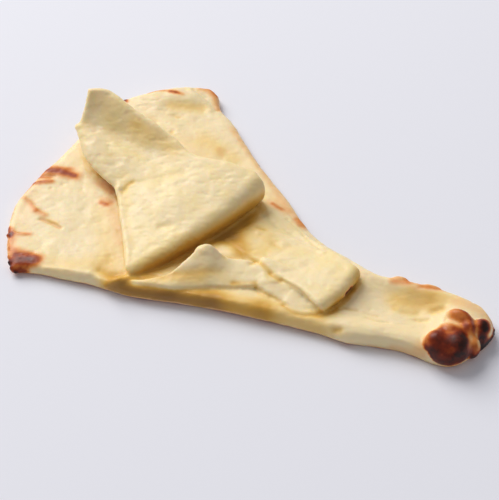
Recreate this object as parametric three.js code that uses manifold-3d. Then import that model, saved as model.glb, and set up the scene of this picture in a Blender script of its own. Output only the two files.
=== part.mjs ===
// A baked naan flatbread, folded over on itself and lying flat.
// Millimetres. X runs from the wide end to the narrow tip, Y from the front long
// side to the back one, Z up. The bread rests on Z = 0, centred on X and Y.
import * as THREE from 'three';
import { mergeVertices } from 'three/addons/utils/BufferGeometryUtils.js';
import Module from 'manifold-3d';

// ---------------------------------------------------------------- sizes (mm)

// Bottom ply, flat below. Its outline is given by stations [x, y] along each side.
// Swells are rises of the upper face: place, half lengths, turn in degrees and height.
const BOTTOM = {
  front: [
    [-113, -106], [-100, -98], [-83, -92], [-65, -85], [-40, -79], [-8, -65], [35, -48],
    [78, -35], [94, -31], [110, -23], [124, -17], [145, -14],
  ],
  back: [
    [-111, 109], [-102, 106], [-92, 96], [-77, 89], [-63, 81], [-33, 63], [-3, 49], [24, 34],
    [41, 29], [67, 26], [82, 24], [98, 29], [122, 36], [151, 37],
  ],
  wideRim: [
    [-113, -106], [-124, -98], [-139, -81], [-150, -62], [-154, -38], [-155, -11],
    [-158, 30], [-157, 61], [-146, 77], [-134, 92], [-120, 103], [-111, 109],
  ],
  tipRim: [[145, -14], [157, -9], [164, 6], [167, 22], [163, 31], [151, 37]],
  top: 7.5,
  rimRounding: 5,
  rimLevel: 0.45, // height of the rim's outermost line, as a share of the top
  swells: [
    { x: 18, y: -52, along: 70, across: 14, turn: 22, rise: 4.5 }, // folded front side
    { x: 112, y: -16, along: 42, across: 8, turn: 20, rise: 4.5 }, // front ridge
    { x: 108, y: 26, along: 44, across: 8, turn: 10, rise: 5 }, // back ridge
    { x: 148, y: 13, along: 22, across: 16, turn: 75, rise: 6.5 }, // curled tip
    { x: -72, y: -83, along: 24, across: 7, turn: 14, rise: 1 }, // lip of the wide end's front
    { x: -128, y: 84, along: 26, across: 14, turn: 35, rise: 4 }, // far corner
    { x: -48, y: -77, along: 9, across: 3.4, turn: 56, rise: 3.4 }, // pinch at the flap's corner
    { x: 2, y: -19, along: 16, across: 8, turn: 10, rise: 4.5 }, // behind the lip's peak
  ],
  rows: 42,
  columns: 20,
};

// Big flap, folded over the wide end and raised at its far corner. Edges are stations
// [x, y, z] on the ply's middle surface, from the raised end to the rolled fold.
const FLAP = {
  front: [
    [-149, 6, 23.5], [-141, -1, 21], [-130, -9, 18.5], [-109, -15, 15.5], [-99, -17, 14.5],
    [-81, -34, 12.5], [-63, -52, 11.5], [-49, -68, 12],
  ],
  back: [
    [-155, 27, 45.5], [-144, 35, 43], [-125, 34.5, 38.5], [-105, 34.5, 35], [-85, 33.5, 29.5],
    [-66, 29.5, 26.5], [-44, 35, 28.5], [-22.5, 38.5, 28.5],
  ],
  crest: [[-49, -68, 12], [-38, -36, 17], [-28, 4, 22.5], [-22.5, 38.5, 28.5]], // top of the roll
  swells: [
    { x: -116, y: 18, along: 36, across: 11, turn: -3, rise: -7 }, // hollow below the back edge
    { x: -55, y: -12, along: 30, across: 18, turn: 72, rise: 3.2 }, // full belly
  ],
  rollRadius: [2.2, 9.3], // middle radius of the roll at the crest's front and back end
  run: [12, 45], // how far the ply goes back under itself
  thickness: [4, 6],
  rows: { sheet: 22, roll: 9, run: 5 },
  columns: 18,
};

// Ply folded over in the middle of the bread, rolled at its end towards the tip.
const MIDDLE = {
  front: [
    [-34, -12, 5], [-14, -10, 6], [2, -14, 9.5], [20, -15, 11], [38, -20, 13], [55, -22, 15],
    [68, -26, 16.2],
  ],
  back: [
    [-34, 52, 4], [-14, 46, 4.5], [6, 37, 5], [24, 28, 6.5], [42, 23, 10], [57, 19, 14],
    [71, 14, 16.2],
  ],
  crest: [[68, -26, 16.2], [71.5, -6, 16.5], [71, 14, 16.2]],
  swells: [{ x: 30, y: 6, along: 26, across: 9, turn: -8, rise: 1.2 }], // soft ridge
  rollRadius: [3, 3],
  run: [30, 30],
  thickness: [5.6, 5.6],
  rows: { sheet: 18, roll: 7, run: 4 },
  columns: 14,
};

const RETURN_LEVEL = 4; // height at which a returning ply has sunk into the bottom ply
const ROLL_TAPER = 0.45; // under 1, a roll widens sooner than evenly along its crest
const ROLL_BOXINESS = 0.8; // 1 for a round roll, less for a boxier one

// Ply that shows below the middle fold on the front side.
const UNDER = {
  front: [
    [18, -22, 10], [26, -30, 10], [36, -32, 9.5], [47, -33, 8.5], [58, -33, 8], [71, -25, 7.5],
  ],
  back: [[18, -10, 13.5], [40, -8, 13.5], [66, -8, 11]],
  thickness: [5, 5],
  rows: 14,
  columns: 6,
};

// Thin lip along the front side; its back edge rises into a pinched peak.
const LIP = {
  front: [
    [-43, -75.5, 9.5], [-26.5, -68, 11.5], [-14.5, -63, 12], [3, -45, 11.7], [18.5, -34, 11.3],
    [38.5, -21.5, 13],
  ],
  back: [
    [-40, -72, 9.5], [-31, -65, 11], [-22, -54, 14], [-18, -41, 19], [-15, -30, 23.5],
    [-11, -27, 23], [-6, -26, 17.5], [0, -24, 13.5], [12, -17, 12], [34, -15, 13],
  ],
  thickness: [2.8, 4.2],
  rows: 28,
  columns: 8,
};

// Bubbles that the oven has raised: centre, half lengths and turn in degrees.
const BLISTERS = [
  { x: 148, y: -2, z: 9, along: 14, across: 13, high: 11, turn: 20 }, // tip, and its lobes
  { x: 142.5, y: -6, z: 12, along: 8, across: 8, high: 9, turn: 30 },
  { x: 154, y: -1, z: 12, along: 9, across: 9, high: 9.5, turn: 0 },
  { x: 147, y: 5, z: 13, along: 10, across: 6.5, high: 8, turn: 5 },
  { x: 146, y: 16, z: 14, along: 10, across: 5.5, high: 8, turn: 10 }, // ridge round the tip
  { x: 154, y: 12, z: 12.5, along: 8, across: 5, high: 8.5, turn: -40 },
  { x: 161.5, y: 7, z: 8, along: 6, across: 4.5, high: 8.5, turn: -60 },
  { x: 159.5, y: 19.5, z: 9.5, along: 6.5, across: 8.5, high: 9, turn: -20 }, // end of the tip
  { x: 98, y: 26.5, z: 7, along: 7, across: 4, high: 5.5, turn: 25 }, // back rim
  { x: 116, y: 31.5, z: 6.5, along: 9, across: 4, high: 5, turn: 25 },
  { x: -13, y: -33, z: 17.5, along: 6, across: 6, high: 7, turn: 0 }, // peak of the lip
];
const BLISTER_MERIDIANS = 18;
const BLISTER_RINGS = 11;

const RIM_CROWDING = 0.75; // how much closer together facets lie at a rim, from 0 to 1

// ---------------------------------------------------------------- curves and surfaces

const vector = ([x, y, z = 0]) => new THREE.Vector3(x, y, z);
const mix = (a, b, t) => a + (b - a) * t;

/** Smooth curve through stations, as a function of the share of its length. */
function smoothCurve(stations) {
  const curve = new THREE.CatmullRomCurve3(stations.map(vector), false, 'centripetal');
  curve.arcLengthDivisions = 400;
  return (t) => curve.getPointAt(Math.min(Math.max(t, 0), 1));
}

/** Straight curve between two points. */
const straightCurve = (from, to) => (t) => from.clone().lerp(to, t);

/** Surface spanned by four edge curves: front and back along s, start and end along t. */
function spannedSurface(front, back, start, end) {
  return (s, t) => {
    const along = front(s).lerp(back(s), t);
    const across = start(t).lerp(end(t), s);
    const corners = front(0).lerp(front(1), s).lerp(back(0).lerp(back(1), s), t);
    return along.add(across).sub(corners);
  };
}

/** Bell-shaped rise at (x, y), falling off over its two half lengths. */
function swellAt({ x, y, along, across, turn, rise }, px, py) {
  const angle = THREE.MathUtils.degToRad(turn);
  const dx = px - x;
  const dy = py - y;
  const a = (dx * Math.cos(angle) + dy * Math.sin(angle)) / along;
  const b = (dy * Math.cos(angle) - dx * Math.sin(angle)) / across;
  return rise * Math.exp(-(a * a + b * b));
}

/** Sum of all swells at (x, y). */
const swellsAt = (swells, x, y) => swells.reduce((sum, one) => sum + swellAt(one, x, y), 0);

/** Sine or cosine of a turn round a roll, made fuller so that the roll is boxier. */
const boxier = (value) => Math.sign(value) * Math.abs(value) ** ROLL_BOXINESS;

/**
 * Surface of a rolled fold. Along s it runs to the crest (s = 1), rolls over (to 2)
 * and goes back under itself (to 3), where it has sunk to the return level.
 */
function rolledSurface({ front, back, crest, swells, rollRadius, run }) {
  const frontCurve = smoothCurve(front);
  const backCurve = smoothCurve(back);
  const crestCurve = smoothCurve(crest);
  const start = straightCurve(frontCurve(0), backCurve(0));
  const sheet = spannedSurface(frontCurve, backCurve, start, crestCurve);
  const up = new THREE.Vector3(0, 0, 1);
  const outward = crestCurve(1).sub(crestCurve(0)).setZ(0).normalize().cross(up);
  return (s, t) => {
    if (s <= 1) {
      const flat = sheet(s, t);
      flat.z += swellsAt(swells, flat.x, flat.y) * (1 - s ** 4);
      return flat;
    }
    const radius = mix(rollRadius[0], rollRadius[1], t ** ROLL_TAPER);
    const turned = Math.min(s - 1, 1) * Math.PI;
    const returned = Math.max(s - 2, 0);
    const reach = radius * boxier(Math.sin(turned)) - returned * mix(run[0], run[1], t);
    const point = crestCurve(t).addScaledVector(outward, reach);
    point.z -= radius * (1 - boxier(Math.cos(turned)));
    point.z = mix(point.z, Math.min(point.z, RETURN_LEVEL), returned);
    return point;
  };
}

// ---------------------------------------------------------------- solids

/** Shares from 0 to 1, closer together towards a rim at the start, the end or both. */
function shares(count, rim = 'both') {
  const crowded = (a) => a - (RIM_CROWDING * Math.sin(2 * Math.PI * a)) / (2 * Math.PI);
  const spacing = {
    both: crowded,
    start: (a) => 2 * crowded(a / 2),
    end: (a) => 2 * crowded((1 + a) / 2) - 1,
    none: (a) => a,
  }[rim];
  return Array.from({ length: count + 1 }, (_, i) => spacing(i / count));
}

/** Table of values over rows + 1 by columns + 1 places. */
function makeTable(rows, columns, valueAt) {
  return Array.from({ length: rows + 1 }, (_, i) => (
    Array.from({ length: columns + 1 }, (__, j) => valueAt(i, j))
  ));
}

/** Length left from every point of a table to the nearest end of its row or column. */
function reachFromRim(table) {
  const rows = table.length - 1;
  const columns = table[0].length - 1;
  const reachAlong = (count, pointAt) => {
    const lengths = [0];
    for (let k = 1; k <= count; k += 1) {
      lengths.push(lengths[k - 1] + pointAt(k).distanceTo(pointAt(k - 1)));
    }
    return lengths.map((length) => Math.min(length, lengths[count] - length));
  };
  const alongRows = table.map((row) => reachAlong(columns, (k) => row[k]));
  const alongColumns = table[0].map((_, j) => reachAlong(rows, (k) => table[k][j]));
  return makeTable(rows, columns, (i, j) => Math.min(alongRows[i][j], alongColumns[j][i]));
}

/** Quarter-round profile: 0 at the rim, 1 from the given distance inwards. */
function rimProfile(reach, rounding) {
  const share = Math.min(reach / rounding, 1);
  return Math.sqrt(1 - (1 - share) ** 2);
}

/** Unit normals of a table of points. */
function tableNormals(table) {
  const rows = table.length - 1;
  const columns = table[0].length - 1;
  return makeTable(rows, columns, (i, j) => {
    const s = table[Math.min(i + 1, rows)][j].clone().sub(table[Math.max(i - 1, 0)][j]);
    const t = table[i][Math.min(j + 1, columns)].clone().sub(table[i][Math.max(j - 1, 0)]);
    return s.cross(t).normalize();
  });
}

/** Solid bounded by triangles over a list of coordinates. */
const solidOf = (wasm, coordinates, triangles) => new wasm.Manifold(new wasm.Mesh({
  numProp: 3,
  vertProperties: new Float32Array(coordinates),
  triVerts: new Uint32Array(triangles),
}));

/** Closed solid between an upper and a lower table of points that meet at the rim. */
function solidBetween(wasm, upper, lower) {
  const rows = upper.length - 1;
  const columns = upper[0].length - 1;
  const coordinates = [];
  const addPoint = ({ x, y, z }) => {
    coordinates.push(x, y, z);
    return coordinates.length / 3 - 1;
  };
  const onRim = (i, j) => i === 0 || j === 0 || i === rows || j === columns;
  const top = makeTable(rows, columns, (i, j) => addPoint(upper[i][j]));
  const bottom = makeTable(rows, columns, (i, j) => (
    onRim(i, j) ? top[i][j] : addPoint(lower[i][j])
  ));
  const triangles = [];
  const addCell = (a, b, c, d) => triangles.push(a, b, c, a, c, d);
  for (let i = 0; i < rows; i += 1) {
    for (let j = 0; j < columns; j += 1) {
      addCell(top[i][j], top[i + 1][j], top[i + 1][j + 1], top[i][j + 1]);
      addCell(bottom[i][j], bottom[i][j + 1], bottom[i + 1][j + 1], bottom[i + 1][j]);
    }
  }
  return solidOf(wasm, coordinates, triangles);
}

/** Ply of bread about its middle surface, with a rounded rim. */
function ply(wasm, alongShares, acrossShares, surface, thickness) {
  const middle = alongShares.map((s) => acrossShares.map((t) => surface(s, t)));
  const normals = tableNormals(middle);
  const reach = reachFromRim(middle);
  const face = (side) => middle.map((row, i) => row.map((point, j) => {
    const half = mix(thickness[0], thickness[1], acrossShares[j]) / 2;
    return point.clone().addScaledVector(normals[i][j], side * half * rimProfile(reach[i][j], half));
  }));
  return solidBetween(wasm, face(1), face(-1));
}

/** Ply with a rolled fold, its facets spread over sheet, roll and returning run. */
function foldedPly(wasm, fold) {
  const alongShares = [
    ...shares(fold.rows.sheet, 'start'),
    ...shares(fold.rows.roll, 'none').slice(1).map((share) => 1 + share),
    ...shares(fold.rows.run, 'end').slice(1).map((share) => 2 + share),
  ];
  return ply(wasm, alongShares, shares(fold.columns), rolledSurface(fold), fold.thickness);
}

/** Ply between a front and a back edge, straight at both ends. */
function openPly(wasm, { front, back, thickness, rows, columns }) {
  const frontCurve = smoothCurve(front);
  const backCurve = smoothCurve(back);
  const surface = spannedSurface(
    frontCurve,
    backCurve,
    straightCurve(frontCurve(0), backCurve(0)),
    straightCurve(frontCurve(1), backCurve(1)),
  );
  return ply(wasm, shares(rows), shares(columns), surface, thickness);
}

// ---------------------------------------------------------------- parts of the bread

/** Bottom ply: flat below, with a rounded rim and a softly swollen upper face. */
function bottomPly(wasm) {
  const outline = spannedSurface(
    smoothCurve(BOTTOM.front),
    smoothCurve(BOTTOM.back),
    smoothCurve(BOTTOM.wideRim),
    smoothCurve(BOTTOM.tipRim),
  );
  const acrossShares = shares(BOTTOM.columns);
  const plan = shares(BOTTOM.rows).map((s) => acrossShares.map((t) => outline(s, t)));
  const reach = reachFromRim(plan);
  const face = (heightAt) => plan.map((row, i) => row.map(({ x, y }, j) => {
    const top = BOTTOM.top + swellsAt(BOTTOM.swells, x, y);
    const profile = rimProfile(reach[i][j], BOTTOM.rimRounding);
    return new THREE.Vector3(x, y, top * heightAt(profile));
  }));
  const upper = face((profile) => mix(BOTTOM.rimLevel, 1, profile));
  const lower = face((profile) => mix(BOTTOM.rimLevel, 0, profile));
  return solidBetween(wasm, upper, lower);
}

/** One blister: a stretched ball, flat where it meets the ground. */
function blister(wasm, { x, y, z, along, across, high, turn }) {
  const ball = new THREE.SphereGeometry(1, BLISTER_MERIDIANS, BLISTER_RINGS)
    .scale(along, across, high)
    .rotateZ(THREE.MathUtils.degToRad(turn))
    .translate(x, y, z);
  ball.deleteAttribute('normal');
  ball.deleteAttribute('uv');
  const { attributes, index } = mergeVertices(ball);
  const onGround = (value, i) => (i % 3 === 2 ? Math.max(value, 0) : value);
  return solidOf(wasm, attributes.position.array.map(onGround), index.array);
}

/** The whole bread as one closed solid. */
function bread(wasm) {
  const pieces = [
    bottomPly(wasm),
    foldedPly(wasm, FLAP),
    foldedPly(wasm, MIDDLE),
    openPly(wasm, UNDER),
    openPly(wasm, LIP),
    ...BLISTERS.map((one) => blister(wasm, one)),
  ];
  return pieces.reduce((whole, one) => whole.add(one));
}

/** Mesh of a solid, centred on X and Y. */
function meshOf(solid, name, material) {
  const { vertProperties, triVerts } = solid.getMesh();
  const geometry = new THREE.BufferGeometry();
  geometry.setAttribute('position', new THREE.Float32BufferAttribute(vertProperties, 3));
  geometry.setIndex(Array.from(triVerts));
  geometry.computeBoundingBox();
  const centre = geometry.boundingBox.getCenter(new THREE.Vector3());
  geometry.translate(-centre.x, -centre.y, 0);
  geometry.computeVertexNormals();
  const mesh = new THREE.Mesh(geometry, material);
  mesh.name = name;
  return mesh;
}

const wasm = await Module();
wasm.setup();

const crust = new THREE.MeshStandardMaterial({ color: 0xe9cf95, roughness: 0.65, metalness: 0 });
const group = new THREE.Group();
group.add(meshOf(bread(wasm), 'naan', crust));

export default group;
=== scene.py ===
"""A folded, baked naan flatbread on a pale studio floor.

The builders work in millimetres, in the coordinates of the stations below: X from the wide
end to the narrow tip, Y from the front long side to the back one, Z up. The finished mesh is
in metres, centred on X and Y as the CAD node is.
"""

import logging
import math
from collections.abc import Sequence
from dataclasses import dataclass, field
from enum import Enum

import bmesh
import bpy
import numpy as np
from mathutils import Matrix, Vector, kdtree, noise
from mathutils.bvhtree import BVHTree

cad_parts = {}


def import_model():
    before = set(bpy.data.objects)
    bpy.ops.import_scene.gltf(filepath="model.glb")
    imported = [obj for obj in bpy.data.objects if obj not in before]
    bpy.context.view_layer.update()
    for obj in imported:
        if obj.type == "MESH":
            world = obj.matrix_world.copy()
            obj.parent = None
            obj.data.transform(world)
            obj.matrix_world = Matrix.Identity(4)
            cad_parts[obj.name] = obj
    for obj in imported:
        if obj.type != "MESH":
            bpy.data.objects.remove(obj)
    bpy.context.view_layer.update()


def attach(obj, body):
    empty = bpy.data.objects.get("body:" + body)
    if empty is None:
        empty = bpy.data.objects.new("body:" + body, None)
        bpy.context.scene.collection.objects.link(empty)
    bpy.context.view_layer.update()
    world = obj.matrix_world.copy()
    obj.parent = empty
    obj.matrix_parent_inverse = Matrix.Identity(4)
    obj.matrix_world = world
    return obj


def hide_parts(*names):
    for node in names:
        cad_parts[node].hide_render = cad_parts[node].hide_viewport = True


LOG = logging.getLogger("naan")

Stations = Sequence[Sequence[float]]

MM = 0.001
FOOTPRINT_CENTRE_MM = (4.16, 1.26)  # centre of the footprint in the stations' coordinates
SKIN_VOXEL_MM = 0.95  # finest lump or crease that the skin holds
SKIN_KEPT = 0.7  # share of the skin's triangles that is kept, as its flat underside needs few
BALL_SEGMENTS = (48, 32)  # meridians and rings of a blister
CLOSE_MM = 1e-3  # points nearer than this are one point
MARK_WIDTHS, MARK_MARGIN_MM = 3, 2  # a mark is too faint to show past these
FRAY_MM = 2.5  # width past which a mark's edge wanders no further


# ------------------------------------------------------------------------ small helpers


def linear(colour: str) -> tuple[float, float, float, float]:
    """Turns an sRGB hex colour into linear light.

    Args:
        colour: The colour as "#rrggbb".

    Returns:
        Red, green, blue and alpha, from 0 to 1.
    """
    shares = [int(colour[i : i + 2], 16) / 255 for i in (1, 3, 5)]
    red, green, blue = (
        c / 12.92 if c <= 0.04045 else ((c + 0.055) / 1.055) ** 2.4 for c in shares
    )
    return red, green, blue, 1.0


def mix(a: np.ndarray, b: np.ndarray, share: np.ndarray) -> np.ndarray:
    """Blends from a to b by a share."""
    return a + (b - a) * share


def smooth_step(low: float, high: float, values: np.ndarray) -> np.ndarray:
    """Eases from 0 at low to 1 at high.

    Args:
        low: Where the ease starts.
        high: Where it has reached 1.
        values: The values to ease.

    Returns:
        One share from 0 to 1 for each value.
    """
    share = np.clip((values - low) / (high - low), 0, 1)
    return share * share * (3 - 2 * share)


def noise_at(places: np.ndarray, grain_mm: float, seed: float, octaves: int = 1) -> np.ndarray:
    """Samples soft noise at places on the bread.

    Args:
        places: One row of x, y and z for each place, in millimetres.
        grain_mm: Size of one lump of the noise.
        seed: Shift that picks another part of the noise.
        octaves: How many finer layers are added up.

    Returns:
        One value for each place, about -1 to 1.
    """
    scaled = places / grain_mm + seed
    if octaves == 1:
        return np.array([noise.noise(row) for row in scaled.tolist()])
    return np.array([noise.fractal(row, 1.0, 2.0, octaves) for row in scaled.tolist()])


# ------------------------------------------------------------------------ curves, surfaces


class SmoothCurve:
    """Centripetal curve through stations, followed by the share of its length."""

    STEPS = 24  # straight pieces between two stations

    def __init__(self, stations: Stations) -> None:
        """Samples the curve.

        Args:
            stations: Two or more points with x, y and, where it isn't 0, z.
        """
        points = np.array([(*station, 0.0)[:3] for station in stations], float)
        points = np.vstack([2 * points[0] - points[1], points, 2 * points[-1] - points[-2]])
        spans = np.sqrt(np.linalg.norm(np.diff(points, axis=0), axis=1))
        line = [points[1:2]]
        for k in range(1, len(points) - 2):
            before, span, after = spans[k - 1], spans[k], spans[k + 1]
            p0, p1, p2, p3 = points[k - 1 : k + 3]
            leave = (p1 - p0) / before - (p2 - p0) / (before + span) + (p2 - p1) / span
            arrive = (p2 - p1) / span - (p3 - p1) / (span + after) + (p3 - p2) / after
            leave, arrive = leave * span, arrive * span
            u = np.linspace(0, 1, self.STEPS + 1)[1:, None]
            cubic = 2 * (p1 - p2) + leave + arrive
            square = 3 * (p2 - p1) - 2 * leave - arrive
            line.append(p1 + u * (leave + u * (square + u * cubic)))
        self.points = np.vstack(line)
        steps = np.linalg.norm(np.diff(self.points, axis=0), axis=1)
        self.lengths = np.concatenate([[0.0], np.cumsum(steps)])

    def at(self, shares: np.ndarray) -> np.ndarray:
        """Finds points on the curve.

        Args:
            shares: Shares of the whole length, from 0 to 1, in any shape.

        Returns:
            An array of that shape with x, y and z added as its last axis.
        """
        length = np.clip(shares, 0, 1) * self.lengths[-1]
        return np.stack(
            [np.interp(length, self.lengths, self.points[:, k]) for k in range(3)], axis=-1
        )


def spanned(
    front: SmoothCurve,
    back: SmoothCurve,
    start: SmoothCurve,
    end: SmoothCurve,
    along: np.ndarray,
    across: np.ndarray,
) -> np.ndarray:
    """Spans a surface between four edge curves.

    Args:
        front: Edge at across = 0.
        back: Edge at across = 1.
        start: Edge at along = 0.
        end: Edge at along = 1.
        along: Shares along the front and back edges.
        across: Shares along the start and end edges.

    Returns:
        Points of the surface, one for each pair of shares.
    """
    s, t = along[..., None], across[..., None]
    ends = np.array([0.0, 1.0])
    (front_a, front_b), (back_a, back_b) = front.at(ends), back.at(ends)
    sides = mix(front.at(along), back.at(along), t) + mix(start.at(across), end.at(across), s)
    return sides - mix(mix(front_a, front_b, s), mix(back_a, back_b, s), t)


def straight(start: Sequence[float], end: Sequence[float]) -> SmoothCurve:
    """Makes a straight edge between two points."""
    return SmoothCurve([start, end])


@dataclass(frozen=True)
class Swell:
    """Bell-shaped rise of a ply, in millimetres and degrees."""

    x: float
    y: float
    along: float
    across: float
    turn: float
    rise: float

    def at(self, x: np.ndarray, y: np.ndarray) -> np.ndarray:
        """Measures the rise at places in plan.

        Args:
            x: Places along the bread.
            y: Places across the bread.

        Returns:
            The rise at each place.
        """
        angle = math.radians(self.turn)
        dx, dy = x - self.x, y - self.y
        a = (dx * math.cos(angle) + dy * math.sin(angle)) / self.along
        b = (dy * math.cos(angle) - dx * math.sin(angle)) / self.across
        return self.rise * np.exp(-(a * a + b * b))


def swells_at(swells: Sequence[Swell], x: np.ndarray, y: np.ndarray) -> np.ndarray:
    """Adds up swells at places in plan."""
    return sum((one.at(x, y) for one in swells), np.zeros_like(x))


# ------------------------------------------------------------------------ plies


class Part(Enum):
    """Parts of the folded bread, as the marks on its crust name them."""

    BOTTOM = 0
    FLAP = 1
    MIDDLE = 2
    UNDER = 3
    LIP = 4
    TIP = 5


def shares(count: int) -> np.ndarray:
    """Spaces shares from 0 to 1 closer together towards both ends.

    Args:
        count: Number of spaces.

    Returns:
        The count + 1 shares.
    """
    crowding = 0.75
    even = np.linspace(0, 1, count + 1)
    return even - crowding * np.sin(2 * math.pi * even) / (2 * math.pi)


def reach_from_rim(table: np.ndarray) -> np.ndarray:
    """Measures how far each point of a table lies from the nearest end of its row or column.

    Args:
        table: Points in rows and columns.

    Returns:
        One length for each point, in millimetres.
    """
    reaches = []
    for axis in (0, 1):
        steps = np.linalg.norm(np.diff(table, axis=axis), axis=2)
        lengths = np.cumsum(steps, axis=axis)
        lengths = np.concatenate([np.zeros_like(lengths.take([0], axis)), lengths], axis=axis)
        reaches.append(np.minimum(lengths, lengths.take([-1], axis) - lengths))
    return np.minimum(*reaches)


def rim_profile(reach: np.ndarray, rounding: np.ndarray | float) -> np.ndarray:
    """Follows a quarter round from 0 at the rim to 1 at the rounding's end."""
    return np.sqrt(1 - (1 - np.minimum(reach / rounding, 1)) ** 2)


def table_normals(table: np.ndarray) -> np.ndarray:
    """Finds the unit normals of a table of points."""
    normals = np.cross(np.gradient(table, axis=0), np.gradient(table, axis=1))
    return normals / np.maximum(np.linalg.norm(normals, axis=2, keepdims=True), CLOSE_MM)


def closed_slab(upper: np.ndarray, lower: np.ndarray) -> bmesh.types.BMesh:
    """Makes a closed slab between two tables of points that meet at the rim.

    Args:
        upper: Points of the upper face, in rows and columns.
        lower: Points of the lower face, in the same rows and columns.

    Returns:
        The slab with its faces outward.
    """
    rows, columns = upper.shape[0] - 1, upper.shape[1] - 1
    slab = bmesh.new()
    bmesh.ops.create_grid(slab, x_segments=rows, y_segments=columns, size=0.5)
    row_of = slab.verts.layers.int.new("row")
    column_of = slab.verts.layers.int.new("column")
    for vert in slab.verts:
        vert[row_of] = round((vert.co.x + 0.5) * rows)
        vert[column_of] = round((vert.co.y + 0.5) * columns)
    top = slab.verts[:]
    copied = bmesh.ops.duplicate(slab, geom=top + slab.edges[:] + slab.faces[:])["geom"]
    bottom = [item for item in copied if isinstance(item, bmesh.types.BMVert)]
    under = [item for item in copied if isinstance(item, bmesh.types.BMFace)]
    bmesh.ops.reverse_faces(slab, faces=under)
    for verts, table in ((top, upper), (bottom, lower)):
        for vert in verts:
            vert.co = table[vert[row_of], vert[column_of]]
    bmesh.ops.remove_doubles(slab, verts=slab.verts[:], dist=CLOSE_MM)
    return slab


@dataclass(frozen=True)
class BottomPly:
    """Bottom ply: flat below, its outline given by stations along each side."""

    front: Stations = (
        (-113, -106), (-100, -98), (-83, -92), (-65, -85), (-40, -79), (-8, -65), (35, -48),
        (78, -35), (94, -31), (110, -23), (124, -17), (145, -14),
    )
    back: Stations = (
        (-111, 109), (-102, 106), (-92, 96), (-77, 89), (-63, 81), (-33, 63), (-3, 49),
        (24, 34), (41, 29), (67, 26), (82, 24), (98, 29), (122, 36), (151, 37),
    )
    wide_rim: Stations = (
        (-113, -106), (-124, -98), (-139, -81), (-150, -62), (-154, -38), (-155, -11),
        (-158, 30), (-157, 61), (-146, 77), (-134, 92), (-120, 103), (-111, 109),
    )
    tip_rim: Stations = ((145, -14), (157, -9), (164, 6), (167, 22), (163, 31), (151, 37))
    top: float = 7.5
    rim_rounding: float = 5
    rim_level: float = 0.45
    swells: Sequence[Swell] = (
        Swell(18, -52, 70, 14, 22, 4.5),  # folded front side
        Swell(112, -16, 42, 8, 20, 4.5),  # front ridge
        Swell(108, 26, 44, 8, 10, 5),  # back ridge
        Swell(148, 13, 22, 16, 75, 6.5),  # curled tip
        Swell(-72, -83, 24, 7, 14, 1),  # lip of the wide end's front
        Swell(-128, 84, 26, 14, 35, 4),  # far corner
        Swell(-48, -77, 9, 3.4, 56, 3.4),  # pinch at the flap's corner
        Swell(-1, -17, 20, 9, 10, 4.8),  # behind the lip's peak
    )
    rows: int = 220
    columns: int = 130

    def build(self) -> bmesh.types.BMesh:
        """Builds the ply.

        Returns:
            The ply as a closed slab.
        """
        along, across = np.meshgrid(shares(self.rows), shares(self.columns), indexing="ij")
        edges = (SmoothCurve(e) for e in (self.front, self.back, self.wide_rim, self.tip_rim))
        plan = spanned(*edges, along, across)
        x, y = plan[..., 0], plan[..., 1]
        profile = rim_profile(reach_from_rim(plan), self.rim_rounding)
        top = self.top + swells_at(self.swells, x, y)
        upper, lower = plan.copy(), plan.copy()
        upper[..., 2] = top * mix(self.rim_level, 1.0, profile)
        lower[..., 2] = top * mix(self.rim_level, 0.0, profile)
        return closed_slab(upper, lower)


def thick_ply(middle: np.ndarray, thickness: np.ndarray) -> bmesh.types.BMesh:
    """Gives a middle surface its thickness and a rounded rim.

    Args:
        middle: Points of the middle surface, in rows and columns.
        thickness: Thickness for each column.

    Returns:
        The ply as a closed slab.
    """
    half = np.broadcast_to(thickness / 2, middle.shape[:2])
    offset = table_normals(middle) * (half * rim_profile(reach_from_rim(middle), half))[..., None]
    return closed_slab(middle + offset, middle - offset)


@dataclass(frozen=True)
class OpenPly:
    """Ply between a front and a back edge, straight at both ends."""

    front: Stations
    back: Stations
    thickness: tuple[float, float]
    rows: int = 120
    columns: int = 50

    def build(self) -> bmesh.types.BMesh:
        """Builds the ply.

        Returns:
            The ply as a closed slab.
        """
        along, across = np.meshgrid(shares(self.rows), shares(self.columns), indexing="ij")
        start = straight(self.front[0], self.back[0])
        end = straight(self.front[-1], self.back[-1])
        edges = SmoothCurve(self.front), SmoothCurve(self.back), start, end
        thickness = mix(*self.thickness, shares(self.columns))
        return thick_ply(spanned(*edges, along, across), thickness)


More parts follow.
